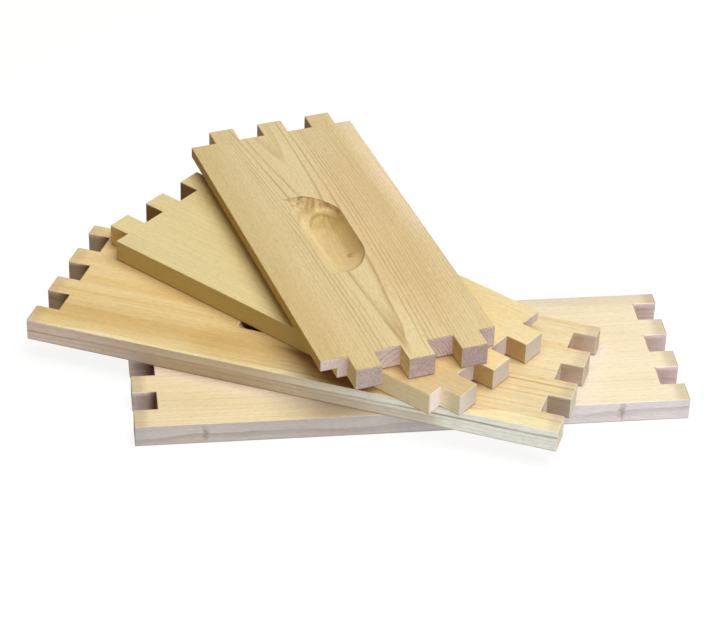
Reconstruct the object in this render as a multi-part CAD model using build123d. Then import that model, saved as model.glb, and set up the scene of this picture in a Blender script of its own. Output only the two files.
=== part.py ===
from build123d import *
import os

# A hive box as a flat-packed kit: two long side boards and two short end boards with finger
# joints, laid on each other in a fan with their outer faces up. Millimetres, +Z up. The origin is
# the centre of the lowest board's underside, and +X runs along that board.

# Timber and the size of the box that the boards make up
board_thickness = 22.0
box_length = 508.0
box_width = 419.0
box_depth = 168.3

# Corner joints: fingers are counted from the box's top edge, and the last one takes what is left
finger_width = 25.4
joint_clearance = 0.1

# Ledge for the frames' lugs, cut into the inner face along the top edge of each end board
frame_rest_height = 15.9
frame_rest_depth = 11.0

# Hand hold, scooped into each outer face: a straight upper edge and a rounded lower side
hold_length = 133.0
hold_height = 46.5
hold_below_top_edge = 55.0
hold_corner_radius = 28.0

# Two levels below the face: the foot of the steep rim, then the flat floor. Each run is how far a
# wall comes in on its way down to that level.
rim_depth = 6.0
rim_run_upper = 4.0
rim_run_lower = 3.0
rim_run_ends = 12.0
floor_below_rim = 6.0
floor_run_upper = 9.0
floor_run_lower = 16.0
floor_run_ends = 30.0

# The most of a hand hold's height or half length that one rounded corner may take
corner_share = 0.9

# Where each loose board lies in the fan: its centre and its turn, seen from above
upper_side_x = -80.8
upper_side_y = 30.4
upper_side_turn_deg = -24.1
lower_end_x = -67.3
lower_end_y = 76.4
lower_end_turn_deg = 135.1
upper_end_x = -52.1
upper_end_y = 114.1
upper_end_turn_deg = -76.1

# How far off the middle of its board the top board's hand hold is cut
upper_end_hold_offset = -3.6

# How far a cutting block stands out of the wood that it cuts
cut_margin = 5.0

low_corner = (Align.MIN, Align.MIN, Align.MIN)


def division_lines():
    """Heights where one finger ends and the next begins, from the top edge to the bottom edge."""
    count = max(round(box_depth / finger_width), 1)
    return [index * finger_width for index in range(count)] + [box_depth]


def board_blank(length):
    """A plain board, inner face down, its middle on x = 0 and the box's top edge on y = 0."""
    return Pos(-length / 2, 0, 0) * Box(length, box_depth, board_thickness, align=low_corner)


def finger_gaps(length, first_gap):
    """Blocks that cut every other division out of both ends, as deep as the mating board is thick."""
    lines = division_lines()
    gaps = []
    for index in range(first_gap, len(lines) - 1, 2):
        low = lines[index] - joint_clearance
        high = lines[index + 1] + joint_clearance
        block = Box(
            board_thickness + cut_margin,
            high - low,
            board_thickness + 2 * cut_margin,
            align=low_corner,
        )
        gaps.append(Pos(length / 2 - board_thickness, low, -cut_margin) * block)
        gaps.append(Pos(-length / 2 - cut_margin, low, -cut_margin) * block)
    return gaps


def hold_section(depth, run_upper, run_lower, run_ends):
    """The hand hold's outline at one depth, drawn in from the outline on the face by the runs."""
    length = hold_length - 2 * run_ends
    height = hold_height - run_upper - run_lower
    radius = min(hold_corner_radius - run_lower, corner_share * height, corner_share * length / 2)
    outline = Rectangle(length, height, align=(Align.CENTER, Align.MIN))
    outline = fillet(outline.vertices().group_by(Axis.Y)[-1], radius)
    return Pos(0, hold_below_top_edge + run_upper, board_thickness - depth) * outline


def hand_hold():
    """The wood taken out for the hand hold."""
    face = hold_section(0, 0, 0, 0)
    rim_foot = hold_section(rim_depth, rim_run_upper, rim_run_lower, rim_run_ends)
    floor = hold_section(
        rim_depth + floor_below_rim,
        rim_run_upper + floor_run_upper,
        rim_run_lower + floor_run_lower,
        rim_run_ends + floor_run_ends,
    )
    return loft([face, rim_foot, floor], ruled=True)


def side_board():
    """A long board whose ends start and finish with a finger."""
    return board_blank(box_length) - finger_gaps(box_length, 1) - hand_hold()


def end_board(hold_offset):
    """A short board whose ends start with a gap, with the frame rest along its top edge."""
    ledge = Box(
        box_width + 2 * cut_margin,
        frame_rest_height + cut_margin,
        frame_rest_depth + cut_margin,
        align=low_corner,
    )
    frame_rest = Pos(-box_width / 2 - cut_margin, -cut_margin, -cut_margin) * ledge
    hold = Pos(hold_offset, 0, 0) * hand_hold()
    return board_blank(box_width) - finger_gaps(box_width, 0) - frame_rest - hold


def laid(board, level, x, y, turn):
    """The board laid flat in the fan, a number of boards above the floor."""
    centred = Pos(0, -box_depth / 2, 0) * board
    return Pos(x, y, level * board_thickness) * Rot(0, 0, turn) * centred


top_board = end_board(upper_end_hold_offset)
nodes = {
    "side_board_lower": laid(side_board(), 0, 0, 0, 0),
    "side_board_upper": laid(side_board(), 1, upper_side_x, upper_side_y, upper_side_turn_deg),
    "end_board_lower": laid(end_board(0), 2, lower_end_x, lower_end_y, lower_end_turn_deg),
    "end_board_upper": laid(top_board, 3, upper_end_x, upper_end_y, upper_end_turn_deg),
}

os.makedirs("parts", exist_ok=True)
for name, solid in nodes.items():
    solid.label = name
    export_step(solid, f"parts/{name}.step")
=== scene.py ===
import math

import bmesh
import bpy
from mathutils import Matrix, Quaternion, Vector, noise


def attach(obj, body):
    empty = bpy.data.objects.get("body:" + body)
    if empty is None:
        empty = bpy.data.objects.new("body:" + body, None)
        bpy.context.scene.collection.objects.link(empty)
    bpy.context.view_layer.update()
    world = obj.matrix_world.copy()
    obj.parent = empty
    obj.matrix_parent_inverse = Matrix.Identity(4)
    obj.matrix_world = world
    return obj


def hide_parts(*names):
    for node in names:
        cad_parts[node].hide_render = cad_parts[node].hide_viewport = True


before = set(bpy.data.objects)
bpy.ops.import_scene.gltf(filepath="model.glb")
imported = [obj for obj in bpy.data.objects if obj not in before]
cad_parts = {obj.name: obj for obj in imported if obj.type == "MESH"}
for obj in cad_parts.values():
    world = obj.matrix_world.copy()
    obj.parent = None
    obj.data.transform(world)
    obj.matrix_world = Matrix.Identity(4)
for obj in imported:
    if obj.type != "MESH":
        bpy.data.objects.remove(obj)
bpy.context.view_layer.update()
scene = bpy.context.scene

# A flat-packed hive box: four loose pine boards laid on each other in a fan. Each board is modelled
# in its own frame: x along the board, y across it from the box's top edge to its bottom edge, z up
# from the inner face at 0 to the outer face. Lengths are in metres.
MM = 0.001

# Boards and their joints, at the sizes of the solids
thickness = 22.0 * MM
side_length = 508.0 * MM
end_length = 419.0 * MM
board_width = 168.3 * MM
finger_width = 25.4 * MM
joint_clearance = 0.1 * MM
frame_rest_height = 15.9 * MM
frame_rest_depth = 11.0 * MM

# Eased arrises
arris_radius = 0.9 * MM
arris_steps = 3
sharp_angle = math.radians(30)
flat_angle = math.radians(0.1)

# Hand hold: its outline on the face and its depth
hold_length = 133.0 * MM
hold_height = 46.5 * MM
hold_below_top_edge = 55.0 * MM
hold_depth = 12.0 * MM
hold_lip = 0.5 * MM
hold_lip_drop = 0.15 * MM

# Its two rounded corners: their reach along the board and across it, and how they curve: 2 is a
# quarter of an ellipse, 1 a straight chamfer
hold_far_corner = (36.0 * MM, 29.0 * MM, 1.5)
hold_near_corner = (38.0 * MM, 27.0 * MM, 1.7)

# How far the walls come in on their way down, and how they curve: 2 is a quarter of an ellipse, 1 a
# straight slope. The near end is gentle on most boards.
hold_run_upper = 16.0 * MM
hold_run_lower = 26.0 * MM
hold_run_near = 46.0 * MM
hold_run_near_steep = 14.0 * MM
hold_curve_upper = 1.5
hold_curve_lower = 2.0
hold_curve_near = 1.6

# The far end goes down in three stages, as shares of the depth: a nick at the rim, a gentle slope
# and the bowl. The slope is shorter beside the lower wall.
far_nick_share = 0.09
far_nick_run = 1.2 * MM
far_slope_share = 0.2
far_slope_run = 26.0 * MM
far_bowl_start = 20.0 * MM
far_bowl_stop = 62.0 * MM
far_skew = 1.0
far_skew_start = 16.0 * MM

# Points along the pieces of the hand hold's outline, and how far in each ring of points lies
upper_edge_points = 54
end_wall_points = 8
corner_points = 18
lower_edge_points = 30
hold_rings = (0.01, 0.03, 0.06, 0.1, 0.15, 0.21, 0.28, 0.36, 0.46, 0.57, 0.7, 0.85, 1.0)
floor_length_share = 0.45
floor_height_share = 0.1

# Torn fibres where the cutter met the end grain: they start and are full at these shares of the way
# from the hand hold's middle to its ends
tear_height = 0.45 * MM
tear_pitch = 3.0 * MM
tear_start = 0.55
tear_full = 0.9

# Camera, fitted to the corners of all four boards in the photograph
image_width = 715
focal_pixels = 2596.8
sensor_width = 36.0
camera_target = Vector((-0.0299, 0.1080, 0.0))
camera_distance = 2.5126
camera_azimuth = math.radians(-7.966)
camera_elevation = math.radians(35.607)
camera_roll = math.radians(2.047)

# Studio: a floor that glows white and keeps a soft shadow, a dim warm dome and two lamps
floor_size = 12.0
floor_drop = 0.2 * MM
floor_paper = (0.35, 0.32, 0.28, 1)
floor_dull = (0.17, 0.17, 0.17, 1)
floor_glow = 0.89
white = (1, 1, 1, 1)
dome_colour = (1.0, 0.82, 0.55, 1)
dome_strength = 0.1
lamps = [
    {
        "name": "key", "place": (0.48, -0.3, 2.38), "size": (2.1, 2.1),
        "power": 58.0, "colour": (1.0, 0.975, 0.92),
    },
    {
        "name": "front", "place": (0.35, -1.5, 0.2), "size": (3.3, 0.35),
        "power": 21.0, "colour": (0.8, 0.9, 1.0),
    },
]


# Shape of the boards

def end_divisions(first_gap):
    """Inset, start and stop of each finger and gap at a board's end, from the top edge down."""
    count = round(board_width / finger_width)
    lines = [index * finger_width for index in range(count)] + [board_width]
    divisions = []
    for index in range(count):
        is_gap = (index - first_gap) % 2 == 0
        grow = joint_clearance if is_gap else -joint_clearance
        start = lines[index] - grow if index > 0 else 0.0
        stop = lines[index + 1] + grow if index < count - 1 else board_width
        divisions.append((thickness if is_gap else 0.0, start, stop))
    return divisions


def board_outline(length, first_gap):
    """Corners round a board's outer face, up its right end and down its left one."""
    right = []
    for inset, start, stop in end_divisions(first_gap):
        right += [(length / 2 - inset, start), (length / 2 - inset, stop)]
    return right + [(-x, y) for x, y in reversed(right)]


def add_prism(mesh, points, has_frame_rest):
    """The board without its hand hold."""
    outer = [mesh.verts.new((x, y, thickness)) for x, y in points]
    inner = [mesh.verts.new((x, y, 0)) for x, y in points]
    last = len(points) - 1
    bottom = list(inner)
    walls = [[index, index + 1] for index in range(last)]
    if has_frame_rest:
        ledge, foot = {}, {}
        for index in (0, last):
            x = points[index][0]
            inner[index].co.z = frame_rest_depth
            ledge[index] = mesh.verts.new((x, frame_rest_height, frame_rest_depth))
            foot[index] = mesh.verts.new((x, frame_rest_height, 0))
            bottom[index] = foot[index]
        mesh.faces.new((inner[last], ledge[last], ledge[0], inner[0]))
        mesh.faces.new((ledge[last], foot[last], foot[0], ledge[0]))
        mesh.faces.new((outer[0], inner[0], ledge[0], foot[0], inner[1], outer[1]))
        mesh.faces.new((outer[-2], inner[-2], foot[last], ledge[last], inner[last], outer[last]))
        walls = walls[1:-1]
    for start, stop in walls + [[last, 0]]:
        mesh.faces.new((outer[start], inner[start], inner[stop], outer[stop]))
    mesh.faces.new(list(reversed(bottom)))
    mesh.faces.new(outer)


def ease_arrises(mesh):
    """Rounds every outside edge a little."""
    bmesh.ops.recalc_face_normals(mesh, faces=mesh.faces)
    edges = [edge for edge in mesh.edges if edge.is_convex and edge.calc_face_angle() > sharp_angle]
    bmesh.ops.bevel(
        mesh, geom=edges, offset=arris_radius, segments=arris_steps,
        profile=0.5, affect="EDGES", clamp_overlap=True,
    )


def wall_depth(distance, run, curve):
    """How deep a wall has come, 0 to 1, at a distance in from its top edge."""
    left = 1 - min(max(distance / run, 0.0), 1.0)
    return (1 - left ** curve) ** (1 / curve)


def smooth(share):
    """A smooth rise from 0 to 1."""
    share = min(max(share, 0.0), 1.0)
    return share * share * (3 - 2 * share)


def spaced(start, stop, count):
    """Points from start up to, but not at, stop."""
    return [start.lerp(stop, index / count) for index in range(count)]


def rounded(end, bottom, corner, spread):
    """Points round a lower corner of the hand hold, from its end wall to its lower edge."""
    along, across, curve = corner
    points = []
    for index in range(corner_points + 1):
        angle = math.pi / 2 * index / corner_points
        inwards = (along + spread) * (1 - math.cos(angle) ** (2 / curve))
        upwards = (across + spread) * (1 - math.sin(angle) ** (2 / curve))
        points.append(Vector((end - math.copysign(inwards, end), bottom - upwards)))
    return points


def hold_outline(spread):
    """The hand hold's outline on the face, spread outwards a little."""
    half = hold_length / 2 + spread
    top = hold_below_top_edge - spread
    bottom = hold_below_top_edge + hold_height + spread
    near = rounded(half, bottom, hold_near_corner, spread)
    far = rounded(-half, bottom, hold_far_corner, spread)
    ring = spaced(Vector((-half, top)), Vector((half, top)), upper_edge_points)
    ring += spaced(Vector((half, top)), near[0], end_wall_points) + near[:-1]
    ring += spaced(near[-1], far[-1], lower_edge_points) + far[:0:-1]
    ring += spaced(far[0], Vector((-half, top)), end_wall_points)
    return ring


def far_depth(from_far, from_top):
    """How deep the far end has come, 0 to 1, at distances in from that end and from the upper edge."""
    skewed = from_far + far_skew * max(from_top - far_skew_start, 0.0)
    nick = far_nick_share * min(from_far / far_nick_run, 1.0)
    slope = far_slope_share * min(skewed / far_slope_run, 1.0)
    bowl = smooth((skewed - far_bowl_start) / (far_bowl_stop - far_bowl_start))
    return nick + slope + (1 - far_nick_share - far_slope_share) * bowl


def depth_at(point, run_near):
    """How deep the hand hold is at a point inside its outline, with a near end of that run."""
    along, across, curve = hold_far_corner if point.x < 0 else hold_near_corner
    past = min(max(abs(point.x) - hold_length / 2 + along, 0.0) / along, 1.0)
    corner_rise = across * (1 - (1 - past ** curve) ** (1 / curve))
    lower_edge = hold_below_top_edge + hold_height - corner_rise
    from_top = point.y - hold_below_top_edge
    lower = wall_depth(lower_edge - point.y, hold_run_lower, hold_curve_lower)
    upper = wall_depth(from_top, hold_run_upper, hold_curve_upper)
    near = wall_depth(hold_length / 2 - point.x, run_near, hold_curve_near)
    far = far_depth(hold_length / 2 + point.x, from_top)
    return hold_depth * lower * upper * near * far


def torn(point, seed):
    """How much the wood is torn up or out at a point of the hand hold, most at its two ends."""
    reach = abs(point.x) / (hold_length / 2)
    share = min(max((reach - tear_start) / (tear_full - tear_start), 0.0), 1.0)
    return tear_height * share * noise.noise(Vector((point.x, point.y, seed)) / tear_pitch)


def hold_levels():
    """Rings of points from the hand hold's lip, over its rim, in to its floor."""
    outline = hold_outline(0)
    middle = hold_below_top_edge + hold_height / 2
    levels = [hold_outline(hold_lip), outline]
    for share in hold_rings:
        ring = []
        for point in outline:
            across = middle + floor_height_share * (point.y - middle)
            ring.append(point.lerp(Vector((floor_length_share * point.x, across)), share))
        levels.append(ring)
    return levels


def add_hold(mesh, board, seed):
    """The hand hold's walls and floor, far end to the left if it faces 1. Returns its rim's edges."""
    rings = []
    for level, points in enumerate(hold_levels()):
        ring = []
        for point in points:
            depth = hold_lip_drop * min(level, 1)
            if level > 1:
                depth += max(depth_at(point, board["hold_run_near"]) - torn(point, seed), 0.0)
            x = board["hold_facing"] * point.x + board["hold_offset"]
            ring.append(mesh.verts.new((x, point.y, thickness - depth)))
        rings.append(ring)
    count = len(rings[0])
    pairs = [(index, (index + 1) % count) for index in range(count)]
    walls = []
    for outside, inside in zip(rings, rings[1:]):
        for index, following in pairs:
            corners = (outside[index], outside[following], inside[following], inside[index])
            walls.append(mesh.faces.new(corners))
    floor = bmesh.ops.triangulate(mesh, faces=[mesh.faces.new(rings[-1])], ngon_method="BEAUTY")
    for face in walls + floor["faces"]:
        face.smooth = True
    return [mesh.edges.get((rings[0][index], rings[0][following])) for index, following in pairs]


def board_mesh(name, board, seed):
    """A whole board, centred on its length and width."""
    mesh = bmesh.new()
    add_prism(mesh, board_outline(board["length"], board["first_gap"]), board["frame_rest"])
    ease_arrises(mesh)
    outer = max(mesh.faces, key=lambda face: face.calc_center_median().z * face.calc_area())
    border = list(outer.edges)
    mesh.faces.remove(outer)
    rim = add_hold(mesh, board, seed)
    filled = bmesh.ops.triangle_fill(mesh, use_beauty=True, edges=border + rim, normal=(0, 0, 1))
    flat_edges = [edge for edge in filled["geom"] if isinstance(edge, bmesh.types.BMEdge)]
    bmesh.ops.dissolve_limit(mesh, angle_limit=flat_angle, edges=flat_edges)
    bmesh.ops.recalc_face_normals(mesh, faces=mesh.faces)
    bmesh.ops.translate(mesh, verts=mesh.verts, vec=(0, -board_width / 2, 0))
    data = bpy.data.meshes.new(name)
    mesh.to_mesh(data)
    mesh.free()
    return data


# Shader nodes

def srgb(red, green, blue):
    """A colour as it shows on a screen, 0 to 255, as the linear colour that a shader takes."""
    def linear(value):
        share = value / 255
        return share / 12.92 if share <= 0.04045 else ((share + 0.055) / 1.055) ** 2.4
    return (linear(red), linear(green), linear(blue), 1.0)


def put(tree, socket, value):
    """Links an output to the input, or sets the input to a plain value."""
    if isinstance(value, bpy.types.NodeSocket):
        tree.links.new(value, socket)
    else:
        socket.default_value = value


def add(tree, kind, inputs, output=0, **settings):
    """Adds a shader node, sets it up, and gives one of its outputs."""
    made = tree.nodes.new("ShaderNode" + kind)
    for name, value in settings.items():
        setattr(made, name, value)
    for name, value in inputs.items():
        put(tree, made.inputs[name], value)
    return made.outputs[output]


def blank_tree(owner):
    """The emptied node tree of a material or a world."""
    owner.use_nodes = True
    owner.node_tree.nodes.clear()
    return owner.node_tree


def finish_tree(tree, kind, surface):
    """Adds the output node."""
    tree.links.new(surface, tree.nodes.new("ShaderNode" + kind).inputs["Surface"])


def calc(tree, operation, *values):
    """A Math node."""
    return add(tree, "Math", dict(enumerate(values)), operation=operation)


def times(tree, first, *others):
    """The product of several values."""
    for other in others:
        first = calc(tree, "MULTIPLY", first, other)
    return first


def away(tree, value, middle):
    """How far a value is from a middle one."""
    return calc(tree, "ABSOLUTE", calc(tree, "SUBTRACT", value, middle))


def vector(tree, operation, *values, output=0):
    """A Vector Math node."""
    return add(tree, "VectorMath", dict(enumerate(values)), output, operation=operation)


def length_of(tree, value):
    """The length of a vector."""
    return vector(tree, "LENGTH", value, output=1)


def centred(tree, value):
    """Coloured noise about 0 instead of 0.5."""
    return vector(tree, "SUBTRACT", value, (0.5, 0.5, 0.5))


def step(tree, value, low, high, to_low=0.0, to_high=1.0):
    """A smooth rise from one level to another, between a low and a high value."""
    inputs = {"Value": value, "From Min": low, "From Max": high, "To Min": to_low, "To Max": to_high}
    return add(tree, "MapRange", inputs, interpolation_type="SMOOTHSTEP")


def fall(tree, value, low, high):
    """A smooth fall from 1 to 0, between a low and a high value."""
    return step(tree, value, low, high, 1.0, 0.0)


def blend(tree, factor, first, second, kind="MIX"):
    """A mix of two colours."""
    inputs = {0: factor, 6: first, 7: second}
    return add(tree, "Mix", inputs, 2, data_type="RGBA", blend_type=kind)


def tint(tree, factor, colour, tone):
    """A colour multiplied by a tone, as far as the factor goes."""
    return blend(tree, factor, colour, tone, "MULTIPLY")


def split(tree, value):
    """The three parts of a vector."""
    made = tree.nodes.new("ShaderNodeSeparateXYZ")
    put(tree, made.inputs[0], value)
    return made.outputs


def uneven_grey(tree, value, low, high, swing):
    """A grey that swings about 1 as a value goes from low to high."""
    level = step(tree, value, low, high, 1 - swing, 1 + swing)
    return add(tree, "CombineColor", {0: level, 1: level, 2: level})


# Noise in the wood: waves in a metre along the grain and across it, and detail. A kind's place in
# this table is added to the board's seed.
grain_waves = {
    "sway": (9, 20, 2.0),
    "fibre": (14, 900, 3.0),
    "patch": (5, 18, 1.0),
    "fleck": (130, 900, 1.0),
    "speckle": (650, 650, 2.0),
    "knot": (300, 300, 3.0),
    "fuzz": (180, 700, 2.0),
    "pit": (150, 280, 4.0),
    "broken": (12, 160, 1.0),
    "band": (1.2, 40, 2.0),
    "wobble": (32, 90, 1.0),
    "sap": (9, 0, 1.0),
    "tear": (45, 260, 3.0),
}

# Ways that a surface faces, as the size of one part of its normal, where it starts and fully counts
# as an end, an edge, an upward slope or a level face
end_facing = (0.45, 0.9)
edge_facing = (0.5, 0.9)
upward_facing = (0.2, 0.5)
level_facing = (0.9, 0.98)

# Distances in from a board's ends and long sides, and below its outer face, where a finger's tip,
# the outermost rim and the hand hold's cut wood start and are full
tip_reach = (16 * MM, 6 * MM)
rim_reach = (3 * MM, 1 * MM)
cut_reach = (0.5 * MM, 2 * MM)

# Turn of the torn fibres in the hand hold
tear_slant = math.radians(18)


def grain(wood, kind, place=None, output=0):
    """One kind of noise in the wood, in the board's frame unless another place is given."""
    along, across, detail = wood.waves[kind]
    seed = wood.seed + list(wood.waves).index(kind)
    if place is None:
        place = wood.place
    scale = (along, across, across)
    scaled = vector(wood.tree, "MULTIPLY_ADD", place, scale, (seed, -seed, 2 * seed))
    inputs = {"Vector": scaled, "Scale": 1.0, "Detail": detail}
    return add(wood.tree, "TexNoise", inputs, output)


class Wood:
    """One board's shader tree and look, and the values that the layers of the look share."""

    def __init__(self, tree, look, origin, turn, seed):
        self.tree = tree
        self.look = look
        self.seed = seed
        self.waves = grain_waves | {"band": look["band_waves"]}
        self.find_place(origin, turn)
        self.find_faces()
        self.find_hold()
        self.fibre = grain(self, "fibre")
        self.speckle = grain(self, "speckle")
        self.sap = sapwood(self)

    def find_place(self, origin, turn):
        """Where a point lies in the board's own frame, and which way the surface faces there."""
        tree = self.tree
        coordinates = tree.nodes.new("ShaderNodeTexCoord").outputs
        place = {"Vector": coordinates["Object"], "Location": origin, "Rotation": (0, 0, turn)}
        facing = {"Vector": coordinates["Normal"], "Rotation": (0, 0, -turn)}
        self.place = add(tree, "Mapping", place, vector_type="TEXTURE")
        self.facing = split(tree, add(tree, "Mapping", facing, vector_type="VECTOR"))
        self.x, self.y, self.z = split(tree, self.place)
        self.depth = calc(tree, "SUBTRACT", thickness, self.z)

    def find_faces(self):
        """Ends, edges, upward and level faces, and how far along the board a point is."""
        tree, look = self.tree, self.look
        self.end_grain = step(tree, calc(tree, "ABSOLUTE", self.facing["X"]), *end_facing)
        self.edge_face = step(tree, calc(tree, "ABSOLUTE", self.facing["Y"]), *edge_facing)
        self.upward = step(tree, self.facing["Z"], *upward_facing)
        self.level = step(tree, self.facing["Z"], *level_facing)
        left = look["change_at"] - look["change_over"]
        self.along = step(tree, self.x, left, look["change_at"] + look["change_over"])
        off_middle = calc(tree, "ABSOLUTE", self.x)
        self.tip = step(tree, calc(tree, "SUBTRACT", look["half_length"], off_middle), *tip_reach)
        off_centre = calc(tree, "ABSOLUTE", self.y)
        self.rim = step(tree, calc(tree, "SUBTRACT", board_width / 2, off_centre), *rim_reach)

    def find_hold(self):
        """The hand hold's own directions, its cut wood, and the noise that its torn fibres follow."""
        tree, look = self.tree, self.look
        self.hold_x = times(tree, self.x, look["hold_facing"])
        self.hold_slope = times(tree, self.facing["X"], look["hold_facing"])
        self.cut = times(tree, self.upward, step(tree, self.depth, *cut_reach))
        turned = {"Vector": self.place, "Angle": tear_slant}
        self.slanted = add(tree, "VectorRotate", turned, rotation_type="Z_AXIS")
        self.tears = grain(self, "tear", self.slanted)


# Growth rings: a small side wobble, how fast the years' widths vary, where in its year the latewood
# peaks, how far past the inner rings the outer ones are full, and how the rings break up and fade
wobble_reach = 1.2 * MM
uneven_rate = 60.0
late_peak = 0.93
outer_full = 1.2
broken_noise = (0.35, 0.6)
broken_least = 0.55
quiet_blend = 8 * MM
quiet_least = 0.2


def from_pith(wood):
    """How far a point is from a pith that leans and bows past the board, and its swayed y."""
    tree, look = wood.tree, wood.look
    sway = centred(tree, grain(wood, "sway", output=1))
    swayed = vector(tree, "MULTIPLY_ADD", sway, (0.0, look["sway"], look["sway"]), wood.place)
    wobble = centred(tree, grain(wood, "wobble", output=1))
    x, y, z = split(tree, vector(tree, "MULTIPLY_ADD", wobble, (0.0, wobble_reach, 0.0), swayed))
    slant = calc(tree, "MULTIPLY_ADD", x, look["bow_y"], look["lean_y"])
    pith_y = calc(tree, "MULTIPLY_ADD", x, slant, look["pith_y"])
    slope = calc(tree, "MULTIPLY_ADD", x, look["bow_z"], look["lean_z"])
    pith_z = calc(tree, "MULTIPLY_ADD", x, slope, look["pith_z"])
    across = calc(tree, "SUBTRACT", y, pith_y)
    above = calc(tree, "SUBTRACT", z, pith_z)
    return length_of(tree, add(tree, "CombineXYZ", {"Y": across, "Z": above})), y


def years_at(wood, radius):
    """Years of growth: wide rings at the core, then narrower and narrower ones, none quite even."""
    tree, look = wood.tree, wood.look
    inside = calc(tree, "MAXIMUM", calc(tree, "SUBTRACT", look["core_radius"], radius), 0.0)
    further = calc(tree, "MAXIMUM", calc(tree, "SUBTRACT", radius, look["inner_radius"]), 0.0)
    inputs = {"W": times(tree, radius, uneven_rate), "Scale": 1.0, "Detail": 1.0}
    uneven = add(tree, "TexNoise", inputs, noise_dimensions="1D")
    years = times(tree, radius, 1 / look["inner_ring"])
    extra = 1 / look["outer_ring"] - 1 / look["inner_ring"]
    years = calc(tree, "MULTIPLY_ADD", further, extra, years)
    extra = 1 / look["inner_ring"] - 1 / look["core_ring"]
    years = calc(tree, "MULTIPLY_ADD", inside, extra, years)
    return calc(tree, "MULTIPLY_ADD", calc(tree, "SUBTRACT", uneven, 0.5), look["uneven"], years)


def growth_rings(wood):
    """Latewood, 0 to 1: a dark end to each year, stronger in some years than in others."""
    tree, look = wood.tree, wood.look
    radius, y = from_pith(wood)
    years = years_at(wood, radius)
    year = {"W": calc(tree, "FLOOR", years)}
    strength = add(tree, "TexWhiteNoise", year, noise_dimensions="1D")
    strength = step(tree, strength, 0, 1, look["faintest"], look["strongest"])
    season = calc(tree, "FRACT", years)
    outer = step(tree, radius, look["inner_radius"], outer_full * look["inner_radius"])
    start = step(tree, outer, 0.0, 1.0, look["late_inner"], look["late_outer"])
    late = times(tree, step(tree, season, start, late_peak), fall(tree, season, late_peak, 1.0), strength)
    for ring_radius, half_width, darkness in look["strong_years"]:
        ring = step(tree, away(tree, radius, ring_radius), 0.0, half_width, darkness, 0.0)
        late = calc(tree, "MAXIMUM", late, ring)
    broken = step(tree, grain(wood, "broken"), *broken_noise, broken_least, 1.0)
    fade = step(tree, radius, look["figure_near"], look["figure_far"], 1.0, look["figure_kept"])
    quiet = step(tree, y, look["quiet_below"] - quiet_blend, look["quiet_below"], quiet_least, 1.0)
    return times(tree, late, broken, fade, quiet)


# Layers of a face: patches, a pale heart, long bands, sapwood along one side with a wavy border, a stain
# that on some boards is painted shade under the boards above, and a pale margin
patch_noise = (0.3, 0.7)
heart_half = (6 * MM, 44 * MM)
band_noise = (0.4, 0.65)
sap_flare_at = (165 * MM, 205 * MM)
sap_wave = 16 * MM
sap_border = 3 * MM
sap_share = 0.9
stain_and_shade_blend = (0.4, 1.0)
margin_from = (60 * MM, 82 * MM)


def sapwood(wood):
    """Pale wood along the box's top edge, 0 to 1."""
    tree, look = wood.tree, wood.look
    flared = look["sap_reach"] + look["sap_flare"]
    reach = step(tree, wood.x, *sap_flare_at, look["sap_reach"], flared)
    wave = calc(tree, "SUBTRACT", grain(wood, "sap"), 0.5)
    past = calc(tree, "MULTIPLY_ADD", wave, -sap_wave, calc(tree, "SUBTRACT", wood.y, reach))
    return fall(tree, past, -sap_border, 0.0)


def face_colour(wood):
    """Earlywood of the long-grain faces, before its rings."""
    tree, look = wood.tree, wood.look
    colour = blend(tree, wood.along, look["early_left"], look["early_right"])
    colour = tint(tree, step(tree, grain(wood, "patch"), *patch_noise), colour, look["patch"])
    off_centre = calc(tree, "ABSOLUTE", wood.y)
    heart = step(tree, off_centre, *heart_half, look["heart_share"], 0.0)
    colour = blend(tree, heart, colour, look["heart"])
    colour = tint(tree, step(tree, grain(wood, "band"), *band_noise), colour, look["band"])
    streak = fall(tree, away(tree, wood.y, look["streak_at"]), 0, look["streak_half"])
    streak = times(tree, streak, step(tree, wood.along, 0.0, 1.0, 1.0, look["streak_right"]))
    colour = tint(tree, streak, colour, look["streak"])
    colour = blend(tree, times(tree, wood.sap, sap_share), colour, look["sap"])
    off_stain_and_shade = vector(tree, "SUBTRACT", wood.place, look["stain_and_shade_at"])
    off_stain_and_shade = length_of(tree, vector(tree, "DIVIDE", off_stain_and_shade, look["stain_and_shade_reach"]))
    colour = tint(tree, fall(tree, off_stain_and_shade, *stain_and_shade_blend), colour, look["stain_and_shade"])
    margin = times(tree, step(tree, wood.y, *margin_from), fall(tree, wood.along, 0.0, 1.0))
    colour = tint(tree, margin, colour, look["margin"])
    return tint(tree, wood.tip, colour, look["tip"])


# Layers of an edge: a darker middle, which is painted shade under the boards above, a dark low stretch,
# and the sawn sides of the fingers, which change from the box's top to its bottom and at the ends,
# partly as painted light and shade
edge_middle_shade_half = (20 * MM, 190 * MM)
low_edge_height = (9 * MM, 14 * MM)
low_edge_left = (-160 * MM, -110 * MM)
low_edge_right = (130 * MM, 160 * MM)
sawn_change = (20 * MM, 60 * MM)


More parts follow.
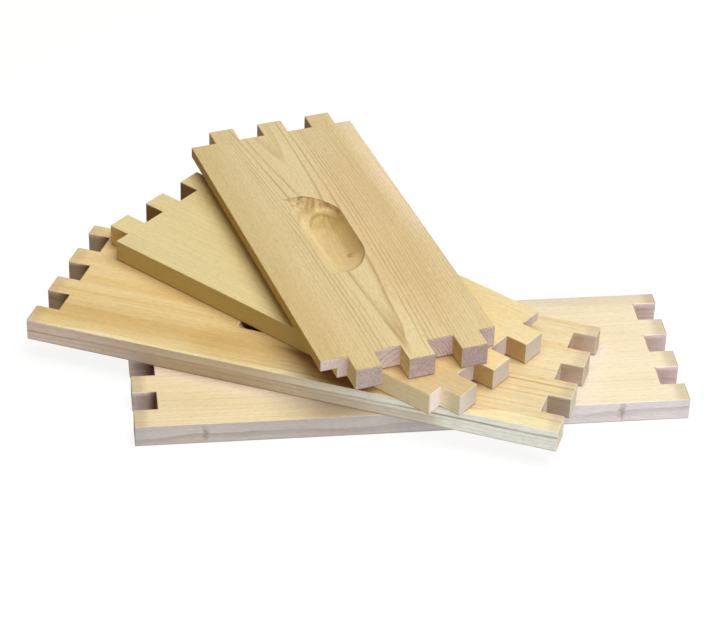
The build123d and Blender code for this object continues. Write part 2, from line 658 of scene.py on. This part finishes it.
def edge_colour(wood):
    """Long edges with painted shade along their middle, and the sawn sides of the fingers with painted
    light and shade.
    """
    tree, look = wood.tree, wood.look
    colour = blend(tree, wood.along, look["edge_left"], look["edge_right"])
    # Painted shade along the middle of the edge, under the boards above
    middle = fall(tree, away(tree, wood.x, look["edge_middle_shade_at"]), *edge_middle_shade_half)
    colour = tint(tree, middle, colour, look["edge_middle_shade"])
    low = times(
        tree, fall(tree, wood.z, *low_edge_height),
        step(tree, wood.x, *low_edge_left), fall(tree, wood.x, *low_edge_right),
    )
    colour = tint(tree, low, colour, look["low_edge"])
    # The sawn sides' tones across the box and at each end are partly painted light and shade of fingers
    # open or hidden in gaps
    sawn = blend(tree, step(tree, wood.y, *sawn_change), look["sawn"], look["sawn_side"])
    sawn_left_light_and_shade = tint(tree, 1.0, sawn, look["sawn_left_light_and_shade"])
    sawn_right_light_and_shade = tint(tree, 1.0, sawn, look["sawn_right_light_and_shade"])
    return blend(tree, wood.rim, blend(tree, wood.along, sawn_left_light_and_shade, sawn_right_light_and_shade), colour)


# Layers of the hand hold, in order. A place is a distance along the hold from the board's middle,
# towards its near end, or across the board from its middle line. A depth is below the outer face. A
# slope is the part of the normal along or across the board.
fresh_share = 0.6
# Painted shade in the hand hold: darker in its depth, on its lower wall, and on a band of that wall past
# a ragged line
deep_depth = (3 * MM, 8 * MM)
deep_across_slope = (0.05, 0.3)
deep_along_slope = (-0.3, -0.05)
deep_across_least = 0.2
deep_along_least = 0.3
cove_slope = (0.1, -0.6)
bank_from = (5.4 * MM, 6.8 * MM)
bank_raggedness = 3 * MM
bank_near_end = (34 * MM, 24 * MM)
bank_far_end = (-46 * MM, -38 * MM)

# One ring of the core: an arc on the far slope, in shares of its reach, golden inside
arc_raggedness = 0.15
arc_far = (-16 * MM, -40 * MM)
golden_from = (0.1, 0.8)
golden_to = (0.95, 1.02)
arc_half_width = (0.01, 0.12)
arc_faint_at = (2 * MM, 14 * MM)
arc_faint = 0.25

# Torn wood: ragged stripes on the far half, the shelf at the far end, and pits; and painted shade on the
# near rim
ragged_far = (-8 * MM, -42 * MM)
ragged_across = (-22 * MM, -8 * MM)
ragged_noise = (0.3, 0.7)
ragged_slope = (-0.45, -0.15)
ragged_least = 0.3
near_rim_slope = (-0.2, -0.5)
near_rim_depth = (5 * MM, 2 * MM)
near_rim_across = (-16 * MM, -6 * MM)
shelf_depth = (5 * MM, 3 * MM)
shelf_slope = (0.04, 0.12)
shelf_across = (-20 * MM, 0.0)
shelf_share = (0.35, 0.95)
shelf_noise = (0.35, 0.6)
shelf_least = 0.45
pit_noise = (0.45, 0.62)
pit_depth = (3.6 * MM, 0.8 * MM)
pit_share = 0.6
rim_line_depth = (1.2 * MM, 0.4 * MM)
rim_line_share = 0.35
pit_most = 0.85


def shade_hold(wood, colour):
    """Fresher wood in the hand hold, and painted shade in its depth and on its lower wall, which faces
    away.
    """
    tree, look = wood.tree, wood.look
    colour = blend(tree, times(tree, wood.cut, fresh_share), colour, look["fresh"])
    deep = times(
        tree, wood.upward, step(tree, wood.depth, *deep_depth),
        step(tree, wood.facing["Y"], *deep_across_slope, 1.0, deep_across_least),
        step(tree, wood.hold_slope, *deep_along_slope, deep_along_least, 1.0),
    )
    colour = tint(tree, deep, colour, look["deep"])
    cove_shade = times(tree, wood.cut, step(tree, wood.facing["Y"], *cove_slope))
    colour = tint(tree, cove_shade, colour, look["cove_shade"])
    ragged_y = calc(tree, "MULTIPLY_ADD", wood.tears, bank_raggedness, wood.y)
    bank_shade = times(
        tree, wood.cut, step(tree, ragged_y, *bank_from),
        step(tree, wood.hold_x, *bank_near_end), step(tree, wood.hold_x, *bank_far_end),
    )
    return tint(tree, bank_shade, colour, look["bank_shade"])


def draw_arc(wood, colour):
    """The arc of one ring of the core on the hand hold's far slope."""
    tree, look = wood.tree, wood.look
    reach = vector(tree, "SUBTRACT", wood.place, look["arc_at"])
    reach = length_of(tree, vector(tree, "DIVIDE", reach, look["arc_reach"]))
    raggedness = calc(tree, "SUBTRACT", wood.tears, 0.5)
    reach = calc(tree, "MULTIPLY_ADD", raggedness, arc_raggedness, reach)
    far = times(tree, wood.cut, step(tree, wood.hold_x, *arc_far))
    golden = times(tree, step(tree, reach, *golden_from), fall(tree, reach, *golden_to), far)
    colour = tint(tree, golden, colour, look["golden"])
    line = fall(tree, away(tree, reach, 1.0), *arc_half_width)
    line = times(tree, line, step(tree, wood.y, *arc_faint_at, 1.0, arc_faint), far)
    return tint(tree, line, colour, look["arc"])


def tear_hold(wood, colour):
    """Wood torn on a slant where the cutter met the end grain, and painted shade on the near rim."""
    tree, look = wood.tree, wood.look
    ragged = times(
        tree, wood.cut, step(tree, wood.hold_x, *ragged_far),
        step(tree, wood.y, *ragged_across), step(tree, wood.tears, *ragged_noise),
        step(tree, wood.facing["Y"], *ragged_slope, ragged_least, 1.0),
    )
    colour = tint(tree, ragged, colour, look["ragged"])
    # Painted shade on the near end's wall just below the rim
    near_rim_shade = times(
        tree, wood.cut, step(tree, wood.hold_slope, *near_rim_slope),
        step(tree, wood.depth, *near_rim_depth), step(tree, wood.y, *near_rim_across),
    )
    colour = tint(tree, near_rim_shade, colour, look["near_rim_shade"])
    far_slope = times(
        tree, wood.upward, step(tree, wood.depth, *shelf_depth), step(tree, wood.hold_slope, *shelf_slope)
    )
    shelf = times(
        tree, far_slope, step(tree, wood.y, *shelf_across, *shelf_share),
        step(tree, wood.tears, *shelf_noise, shelf_least, 1.0),
    )
    colour = blend(tree, shelf, colour, look["torn"])
    pits = step(tree, grain(wood, "pit", wood.slanted), *pit_noise)
    near_face = step(tree, wood.depth, *pit_depth, 0.0, pit_share)
    rim_line = step(tree, wood.depth, *rim_line_depth, 0.0, rim_line_share)
    pits = times(tree, calc(tree, "MULTIPLY_ADD", pits, near_face, rim_line), far_slope)
    return blend(tree, calc(tree, "MINIMUM", pits, pit_most), colour, look["pit"])


# Grain over face, edge and hand hold: how much of the rings shows in sapwood and in the cut, how the
# fibres' light and dark spread, and how far the knots' outlines wander
sap_figure = 0.35
cut_figure = -0.5
fibre_noise = (0.25, 0.75)
fleck_noise = (0.62, 0.72)
knot_wander = (9 * MM, 9 * MM, 14 * MM)
knot_blend = (0.2, 1.0)
knot_share = 0.6


def knots(wood):
    """Darkness of the small knots, 0 to 1, as uneven spots on an edge or in the hand hold."""
    tree = wood.tree
    rough = centred(tree, grain(wood, "knot", output=1))
    swayed = vector(tree, "MULTIPLY_ADD", rough, knot_wander, wood.place)
    dark = 0.0
    for spot, size in wood.look["knots"]:
        scaled = vector(tree, "DIVIDE", vector(tree, "SUBTRACT", swayed, spot), size)
        dark = calc(tree, "MAXIMUM", fall(tree, length_of(tree, scaled), *knot_blend), dark)
    return times(tree, dark, calc(tree, "MAXIMUM", wood.edge_face, wood.cut))


def draw_grain(wood, colour, late):
    """Rings, fibres, flecks and knots."""
    tree, look = wood.tree, wood.look
    figure = step(tree, wood.along, 0.0, 1.0, look["figure_left"], look["figure_right"])
    figure = times(tree, figure, step(tree, wood.sap, 0.0, 1.0, 1.0, sap_figure))
    figure = calc(tree, "MULTIPLY_ADD", wood.edge_face, look["edge_figure"], figure)
    figure = calc(tree, "MULTIPLY_ADD", wood.cut, cut_figure, figure)
    late_colour = blend(tree, wood.edge_face, look["late"], look["edge_late"])
    colour = blend(tree, times(tree, late, figure), colour, late_colour)
    colour = tint(tree, 1.0, colour, uneven_grey(tree, wood.fibre, *fibre_noise, look["fibre"]))
    colour = tint(tree, 1.0, colour, uneven_grey(tree, grain(wood, "fuzz"), *fibre_noise, look["fuzz"]))
    fleck = step(tree, grain(wood, "fleck"), *fleck_noise)
    colour = blend(tree, times(tree, fleck, look["flecks"]), colour, look["late"])
    if look["knots"]:
        colour = blend(tree, times(tree, knots(wood), knot_share), colour, look["knot"])
    return colour


# End grain: how much of the rings shows on a finger's tip, how the sawn speckle spreads, and where
# the painted shade at the root of a gap is full
tip_rings = 0.45
speckle_noise = (0.3, 0.7)
root_full = 0.5 * MM


def saw_ends(wood, colour, late):
    """End grain, sawn rough, and painted shade at the roots of the left end's gaps, which is painted
    light on the lower end board.
    """
    tree, look = wood.tree, wood.look
    rings = times(tree, late, step(tree, wood.tip, 0.0, 1.0, 1.0, tip_rings))
    end = blend(tree, rings, look["end_pale"], look["end_dark"])
    side = step(tree, wood.y, look["end_from"] * board_width, look["end_to"] * board_width)
    end = tint(tree, side, end, look["end_side"])
    end = tint(tree, wood.tip, end, look["end_tip"])
    end = tint(tree, 1.0, end, uneven_grey(tree, wood.speckle, *speckle_noise, look["speckle"]))
    colour = blend(tree, wood.end_grain, colour, end)
    off_root = away(tree, wood.x, thickness - look["half_length"])
    root_shading = times(
        tree, fall(tree, off_root, root_full, look["root_reach"]), fall(tree, wood.rim, 0.0, 1.0),
        calc(tree, "MAXIMUM", wood.end_grain, wood.edge_face),
    )
    return tint(tree, root_shading, colour, look["root_shading"])


# Wear and painted light: arrises rubbed pale on their upper side, partly a painted highlight; a painted
# contact shadow along the lower edges; and painted shade where little sky is seen. The gloom is
# painted shade along the left part of the top edge, under other boards.
worn_radius = 1.6 * MM
worn_samples = 4
worn_bend = (0.98, 0.8)
worn_facing = (-0.3, 0.0)
contact_shade_facing = (0.5, 0.2)
underside_facing = (-0.99, -0.9)
contact_shade_height = (0.5 * MM, 2 * MM)
sky_distance = 30 * MM
sky_samples = 8
nook_sky = (0.95, 0.6)
crevice_sky = (0.45, 0.15)
gloom_sky = (0.78, 0.54)
gloom_along = (70 * MM, 90 * MM)
gloom_across = (-50 * MM, -40 * MM)


def wear_and_painted_light(wood, colour):
    """Rubbed arrises with a painted highlight, a painted contact shadow on lower edges, and painted shade
    where little sky is seen.
    """
    tree, look = wood.tree, wood.look
    eased = add(tree, "Bevel", {"Radius": worn_radius}, samples=worn_samples)
    normal = add(tree, "NewGeometry", {}, "Normal")
    bend = vector(tree, "DOT_PRODUCT", eased, normal, output=1)
    # Arrises rubbed pale on their upper side only: wear, and partly a painted highlight
    rubbed_and_highlit_arris = times(tree, step(tree, bend, *worn_bend), step(tree, wood.facing["Z"], *worn_facing))
    colour = blend(tree, times(tree, rubbed_and_highlit_arris, look["wear_and_painted_light"]), colour, look["worn_and_highlight"])
    # Painted contact shadow along the lowest 2 mm of the sides, where a board rests on another
    foot = times(
        tree, step(tree, wood.facing["Z"], *contact_shade_facing), step(tree, wood.facing["Z"], *underside_facing),
        fall(tree, wood.z, *contact_shade_height),
    )
    colour = tint(tree, foot, colour, look["foot"])
    # Painted shade where little sky is seen: on level faces near walls, in crevices and covered parts of
    # the hand hold, and the gloom under other boards
    sky = add(tree, "AmbientOcclusion", {"Distance": sky_distance}, "AO", samples=sky_samples)
    colour = tint(tree, times(tree, step(tree, sky, *nook_sky), wood.level), colour, look["nook_shade"])
    hollow = calc(tree, "MAXIMUM", wood.level, wood.cut)
    colour = tint(tree, times(tree, step(tree, sky, *crevice_sky), hollow), colour, look["crevice_shade"])
    gloom_shade = times(
        tree, step(tree, sky, *gloom_sky), wood.level,
        fall(tree, wood.x, *gloom_along), fall(tree, wood.y, *gloom_across),
    )
    return tint(tree, gloom_shade, colour, look["gloom_shade"])


# Finish: roughness of planed wood and of sawn ends, and the height of fibres, rings and saw marks
rough_noise = (0.2, 0.8)
rough_planed = (0.58, 0.74)
rough_sawn = 0.15
fibre_relief = 0.5
ring_relief = 0.25
saw_relief = 0.8
bump_strength = 0.35
bump_height = 0.4 * MM
sheen_level = 0.35


def pine(name, look, origin, turn, seed):
    """Planed pine with solid grain in the board's own frame, so that faces, edges and ends agree."""
    material = bpy.data.materials.new(name)
    tree = blank_tree(material)
    wood = Wood(tree, look, origin, turn, seed)
    late = growth_rings(wood)
    edge = times(tree, wood.edge_face, look["edge_share"])
    colour = blend(tree, edge, face_colour(wood), edge_colour(wood))
    colour = tear_hold(wood, draw_arc(wood, shade_hold(wood, colour)))
    colour = saw_ends(wood, draw_grain(wood, colour, late), late)
    colour = wear_and_painted_light(wood, colour)

    roughness = step(tree, wood.fibre, *rough_noise, *rough_planed)
    roughness = calc(tree, "MULTIPLY_ADD", wood.end_grain, rough_sawn, roughness)
    relief = calc(tree, "MULTIPLY_ADD", wood.fibre, fibre_relief, times(tree, late, ring_relief))
    sawn = times(tree, wood.end_grain, wood.speckle)
    relief = calc(tree, "MULTIPLY_ADD", sawn, saw_relief, relief)
    inputs = {"Strength": bump_strength, "Distance": bump_height, "Height": relief}
    bump = add(tree, "Bump", inputs)
    inputs = {
        "Base Color": colour, "Roughness": roughness, "Normal": bump, "Specular IOR Level": sheen_level,
    }
    surface = add(tree, "BsdfPrincipled", inputs)
    finish_tree(tree, "OutputMaterial", surface)
    return material


# Looks of the wood. A pith's place is in the board's own frame. It leans so many metres sideways or
# upwards for each metre along the board, and bows. A white tone leaves a colour as it is.
plain_look = {
    "pith_y": -0.6 * MM, "pith_z": -7.6 * MM,
    "lean_y": 0.018, "lean_z": -0.0358,
    "bow_y": -0.15, "bow_z": 0.0677,
    "core_ring": 12.0 * MM, "core_radius": 24.5 * MM,
    "inner_ring": 4.9 * MM, "inner_radius": 37 * MM,
    "outer_ring": 2.8 * MM,
    "uneven": 0.4,
    "faintest": 0.45, "strongest": 1.0,
    "strong_years": [],
    "quiet_below": -40 * MM,
    "late_inner": 0.66, "late_outer": 0.35,
    "sway": 2.0 * MM,
    "figure_near": 42 * MM, "figure_far": 50 * MM,
    "figure_kept": 0.5,
    "figure_left": 0.7, "figure_right": 0.7,
    "edge_figure": 0.0,
    "late": srgb(172, 134, 76), "edge_late": srgb(150, 114, 70),
    "fibre": 0.06, "fuzz": 0.06,
    "flecks": 0.25,
    "knots": [((26 * MM, 4 * MM, 13 * MM), (5 * MM, 3.4 * MM, 20 * MM))],
    "knot": srgb(128, 96, 48),

    "change_at": 0.0, "change_over": board_width,
    "early_left": srgb(234, 216, 171), "early_right": srgb(232, 213, 167),
    "patch": (0.96, 0.94, 0.9, 1),
    "heart_share": 0.6, "heart": srgb(238, 222, 176),
    "band": (0.97, 0.95, 0.92, 1), "band_waves": grain_waves["band"],
    "streak_at": -84 * MM, "streak_half": 46 * MM,
    "streak": (0.86, 0.82, 0.7, 1), "streak_right": 0.75,
    "sap_reach": -1.0, "sap_flare": 0.0,
    "sap": srgb(255, 244, 190),
    "stain_and_shade_at": (10 * MM, 40 * MM, 0), "stain_and_shade_reach": (200 * MM, 50 * MM, 1),
    "stain_and_shade": (0.955, 0.9, 0.85, 1),
    "margin": (1.2, 1.2, 1.42, 1),
    "tip": white,

    # The long edges are darker and browner than the face, partly as the wood and partly as painted shade
    "edge_share": 0.95,
    "edge_left": srgb(155, 115, 22), "edge_right": srgb(181, 141, 47),
    "edge_middle_shade_at": 0.0, "edge_middle_shade": white,
    "low_edge": white,
    "sawn": srgb(222, 190, 128), "sawn_side": srgb(164, 124, 62),
    "sawn_left_light_and_shade": white, "sawn_right_light_and_shade": white,

    "fresh": srgb(244, 223, 172),
    # Painted shade in the hand hold's depth, on its lower wall and on a band of that wall
    "deep": (0.9, 0.86, 0.79, 1), "cove_shade": (0.8, 0.73, 0.6, 1),
    "bank_shade": (0.86, 0.85, 0.79, 1),
    "arc_at": (-10 * MM, -0.3 * MM, 0), "arc_reach": (34 * MM, 18 * MM, 1),
    "golden": (0.83, 0.79, 0.66, 1), "arc": (0.7, 0.65, 0.48, 1),
    "ragged": (0.76, 0.66, 0.5, 1), "near_rim_shade": (0.78, 0.71, 0.58, 1),
    "torn": srgb(176, 138, 88), "pit": srgb(134, 104, 52),

    "end_pale": srgb(223, 199, 192), "end_dark": srgb(175, 140, 138),
    "end_from": -0.3, "end_to": 0.3,
    "end_side": (0.8, 0.79, 0.84, 1), "end_tip": (0.69, 0.67, 0.62, 1),
    "speckle": 0.15,
    "root_shading": white, "root_reach": 14 * MM,
    # Arrises rubbed pale with a partly painted highlight; painted contact shadow, and painted shade in
    # nooks, in crevices and under other boards
    "wear_and_painted_light": 0.35, "worn_and_highlight": srgb(238, 222, 184),
    "foot": (0.68, 0.57, 0.48, 1),
    "nook_shade": (0.91, 0.86, 0.79, 1),
    "crevice_shade": (0.35, 0.21, 0.13, 1),
    "gloom_shade": white,
}
straight_look = plain_look | {
    "pith_y": 150 * MM, "pith_z": -30 * MM,
    "lean_y": 0.0, "lean_z": 0.01,
    "bow_y": 0.0, "bow_z": 0.0,
    "core_radius": 0.0,
    "inner_ring": 4.5 * MM,
    "outer_ring": 4.5 * MM,
    "uneven": 1.5,
    "faintest": 0.2,
    "quiet_below": -1.0,
    "late_inner": 0.4,
    "sway": 5 * MM,
    "figure_near": 1.0, "figure_far": 2.0,
    "knots": [],
    "heart_share": 0.0,
    "streak": white,
    "stain_and_shade": white,
    "margin": white,
    "edge_share": 0.8,
    "golden": white, "arc": white,
    "end_side": white, "end_tip": white,
}
lower_side_look = straight_look | {
    "pith_y": 100 * MM, "pith_z": -60 * MM,
    "figure_left": 0.25, "figure_right": 0.15,
    "edge_figure": 0.15,
    "late": srgb(222, 184, 140),
    "knots": [
        ((-191 * MM, -board_width / 2, 11 * MM), (4 * MM, 4 * MM, 13 * MM)),
        ((191 * MM, -board_width / 2, 11 * MM), (4.5 * MM, 4 * MM, 14 * MM)),
    ],
    "knot": srgb(150, 132, 110),
    "early_left": srgb(249, 233, 194), "early_right": srgb(255, 244, 216),
    "streak_at": 84 * MM, "streak_half": 26 * MM,
    "streak": (0.87, 0.86, 0.9, 1), "streak_right": 1.0,
    "tip": (0.76, 0.74, 0.74, 1),
    "edge_left": srgb(204, 196, 195), "edge_right": srgb(232, 221, 228),
    # Painted shade along the middle of the long edge, under the board above
    "edge_middle_shade_at": -40 * MM, "edge_middle_shade": (0.84, 0.81, 0.84, 1),
    "sawn": srgb(248, 224, 226), "sawn_side": srgb(248, 224, 226),
    "end_pale": srgb(224, 200, 190), "end_dark": srgb(186, 158, 150),
    # Painted shade at the roots of the left end's gaps
    "root_shading": (0.3, 0.2, 0.12, 1), "root_reach": 9 * MM,
    "nook_shade": (0.96, 0.97, 1.2, 1),
}

# Radius, half width and darkness of the strong years in the upper side board
strong_years = [
    (124.2 * MM, 0.8 * MM, 0.4),
    (128.0 * MM, 1.4 * MM, 1.0),
    (140.0 * MM, 0.9 * MM, 0.7),
    (152.5 * MM, 0.9 * MM, 0.5),
    (158.5 * MM, 0.8 * MM, 0.4),
    (165.0 * MM, 1.0 * MM, 0.6),
    (170.5 * MM, 0.9 * MM, 0.5),
    (178.5 * MM, 1.5 * MM, 1.0),
    (183.7 * MM, 1.2 * MM, 0.6),
]
upper_side_look = straight_look | {
    "pith_y": -160 * MM, "pith_z": -90 * MM,
    "faintest": 0.05, "strongest": 0.5,
    "strong_years": strong_years,
    "sway": 2.5 * MM,
    "figure_near": 188 * MM, "figure_far": 196 * MM,
    "figure_left": 0.15,
    "edge_figure": 0.65,
    "late": srgb(186, 144, 80), "edge_late": srgb(150, 128, 96),
    "early_left": srgb(247, 223, 168), "early_right": srgb(246, 230, 190),
    "band": (0.95, 0.9, 0.8, 1), "band_waves": (1.2, 70, 2.0),
    "streak_at": -54 * MM, "streak_half": 30 * MM,
    "streak": (0.85, 0.79, 0.67, 1), "streak_right": 0.3,
    "sap_reach": -79 * MM, "sap_flare": 11 * MM,
    "sap": srgb(250, 240, 194),
    # Painted shade on the face near the boards above
    "stain_and_shade_at": (-50 * MM, -60 * MM, 0), "stain_and_shade_reach": (70 * MM, 45 * MM, 1),
    "stain_and_shade": (0.88, 0.83, 0.72, 1),
    "tip": (0.86, 0.86, 0.95, 1),
    "edge_left": srgb(243, 212, 200), "edge_right": srgb(255, 255, 246),
    # Painted shade along the middle of the long edge, under the board above
    "edge_middle_shade_at": -72 * MM, "edge_middle_shade": (0.5, 0.46, 0.38, 1),
    "low_edge": (0.72, 0.63, 0.55, 1),
    "sawn": srgb(186, 161, 146), "sawn_side": srgb(198, 172, 157),
    # Painted light on the sawn sides at the left end
    "sawn_left_light_and_shade": (1.6, 1.65, 1.5, 1),
    "end_pale": srgb(240, 230, 208), "end_dark": srgb(218, 198, 168),
    "end_side": (0.62, 0.52, 0.45, 1),
    # Painted shade at the roots of the left end's gaps
    "root_shading": (0.35, 0.26, 0.18, 1),
    # A stronger painted highlight on the upper arrises, and painted shade under the boards above
    "wear_and_painted_light": 0.8, "worn_and_highlight": srgb(250, 236, 196),
    "gloom_shade": (0.36, 0.2, 0.11, 1),
}
lower_end_look = straight_look | {
    "pith_y": -150 * MM, "pith_z": 10 * MM,
    "figure_left": 0.08, "figure_right": 0.08,
    "late": srgb(206, 172, 108),
    "change_at": -110 * MM, "change_over": 70 * MM,
    "early_left": srgb(252, 234, 186), "early_right": srgb(240, 224, 172),
    # Painted contact shadow and darker wood at the corner beside the board above
    "stain_and_shade_at": (-209 * MM, 84 * MM, 0), "stain_and_shade_reach": (110 * MM, 85 * MM, 1),
    "stain_and_shade": (0.76, 0.7, 0.66, 1),
    # The long edges are pale near the left end and dark brown further on, partly as the wood and partly
    # as painted shade; the sawn sides are darker in the gaps than on the finger at the box's bottom, as
    # painted shade
    "edge_share": 0.95,
    "edge_left": srgb(240, 220, 172), "edge_right": srgb(176, 145, 74),
    "sawn": srgb(178, 144, 86), "sawn_side": srgb(236, 220, 180),
    # Painted shade on the sawn sides at the right end
    "sawn_right_light_and_shade": (0.75, 0.56, 0.24, 1),
    "end_pale": srgb(201, 187, 174), "end_dark": srgb(194, 178, 165),
    "end_from": 0.25, "end_to": 0.45,
    "end_side": (1.42, 1.45, 1.45, 1),
    "speckle": 0.05,
    # Painted light at the roots of the left end's gaps
    "root_shading": (1.14, 1.12, 1.2, 1),
    "nook_shade": (0.97, 0.92, 0.8, 1),
}


# The boards, from the floor up: each one's centre and turn in the fan, seen from above
side_board = {
    "length": side_length,
    "first_gap": 1,
    "frame_rest": False,
    "hold_offset": 0.0,
    "hold_facing": 1,
    "hold_run_near": hold_run_near,
}
end_board = side_board | {"length": end_length, "first_gap": 0, "frame_rest": True}
boards = [
    side_board | {
        "node": "side_board_lower", "body": "lower_side", "look": lower_side_look,
        "level": 0, "place": (0.0, 0.0), "turn": 0.0,
    },
    side_board | {
        "node": "side_board_upper", "body": "upper_side", "look": upper_side_look,
        "level": 1, "place": (-80.8 * MM, 30.4 * MM), "turn": math.radians(-24.1),
        "hold_facing": -1, "hold_run_near": hold_run_near_steep,
    },
    end_board | {
        "node": "end_board_lower", "body": "lower_end", "look": lower_end_look,
        "level": 2, "place": (-67.3 * MM, 76.4 * MM), "turn": math.radians(135.1),
    },
    end_board | {
        "node": "end_board_upper", "body": "upper_end", "look": plain_look,
        "level": 3, "place": (-52.1 * MM, 114.1 * MM), "turn": math.radians(-76.1),
        "hold_offset": -3.6 * MM,
    },
]

# Step from one board's grain seed to the next
seed_step = 7.3


def put_in_scene(name, data):
    """A new object in the scene, made of that data."""
    made = bpy.data.objects.new(name, data)
    scene.collection.objects.link(made)
    return made


def lay_board(number, board):
    """Makes one board and lays it in the fan, in the place of its solid."""
    name = board["node"] + "_wood"
    data = board_mesh(name, board, number)
    turn = board["turn"]
    origin = Vector((*board["place"], board["level"] * thickness))
    data.transform(Matrix.Translation(origin) @ Matrix.Rotation(turn, 4, "Z"))
    look = board["look"] | {"half_length": board["length"] / 2, "hold_facing": board["hold_facing"]}
    data.materials.append(pine(name, look, origin, turn, seed_step * number))
    piece = put_in_scene(name, data)
    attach(piece, board["body"])
    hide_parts(board["node"])


# Stage

def white_to_camera(tree):
    """1 for rays from the camera and for mirrored or refracted ones, 0 for the light's own rays."""
    path = tree.nodes.new("ShaderNodeLightPath").outputs
    seen = calc(tree, "MAXIMUM", path["Is Camera Ray"], path["Is Glossy Ray"])
    return calc(tree, "MAXIMUM", seen, path["Is Transmission Ray"])


def add_floor():
    """A pale floor that keeps a soft shadow and otherwise shows white."""
    bpy.ops.mesh.primitive_plane_add(size=floor_size, location=(0, 0, -floor_drop))
    floor = bpy.context.object
    floor.name = "floor"
    material = bpy.data.materials.new("floor")
    tree = blank_tree(material)
    paper = add(tree, "BsdfDiffuse", {"Color": floor_paper})
    glow = add(tree, "Emission", {"Color": white, "Strength": floor_glow})
    dull = add(tree, "BsdfDiffuse", {"Color": floor_dull})
    shown = add(tree, "AddShader", {0: glow, 1: dull})
    surface = add(tree, "MixShader", {0: white_to_camera(tree), 1: paper, 2: shown})
    finish_tree(tree, "OutputMaterial", surface)
    floor.data.materials.append(material)


def add_world():
    """Even light from all sides, seen as plain white."""
    world = bpy.data.worlds.new("studio")
    scene.world = world
    tree = blank_tree(world)
    dome = add(tree, "Background", {"Color": dome_colour, "Strength": dome_strength})
    plain = add(tree, "Background", {"Color": white, "Strength": 1.0})
    surface = add(tree, "MixShader", {0: white_to_camera(tree), 1: dome, 2: plain})
    finish_tree(tree, "OutputWorld", surface)


def add_lamp(name, place, size, power, colour):
    """A soft lamp aimed at the pile."""
    lamp = bpy.data.lights.new(name, "AREA")
    lamp.shape = "RECTANGLE"
    lamp.size, lamp.size_y = size
    lamp.energy = power
    lamp.color = colour
    holder = put_in_scene(name, lamp)
    holder.visible_camera = False
    holder.location = place
    aim = camera_target - holder.location
    holder.rotation_euler = aim.to_track_quat("-Z", "Y").to_euler()


def add_camera():
    """The camera at the photograph's viewpoint."""
    data = bpy.data.cameras.new("camera")
    data.sensor_width = sensor_width
    data.lens = focal_pixels / image_width * sensor_width
    camera = put_in_scene("camera", data)
    back = Vector((
        math.sin(camera_azimuth) * math.cos(camera_elevation),
        -math.cos(camera_azimuth) * math.cos(camera_elevation),
        math.sin(camera_elevation),
    ))
    camera.location = camera_target + camera_distance * back
    camera.rotation_mode = "QUATERNION"
    level = (-back).to_track_quat("-Z", "Y")
    camera.rotation_quaternion = level @ Quaternion((0, 0, 1), camera_roll)
    scene.camera = camera


for number, board in enumerate(boards, 1):
    lay_board(number, board)
add_floor()
add_world()
for lamp in lamps:
    add_lamp(**lamp)
add_camera()
scene.view_settings.view_transform = "Standard"
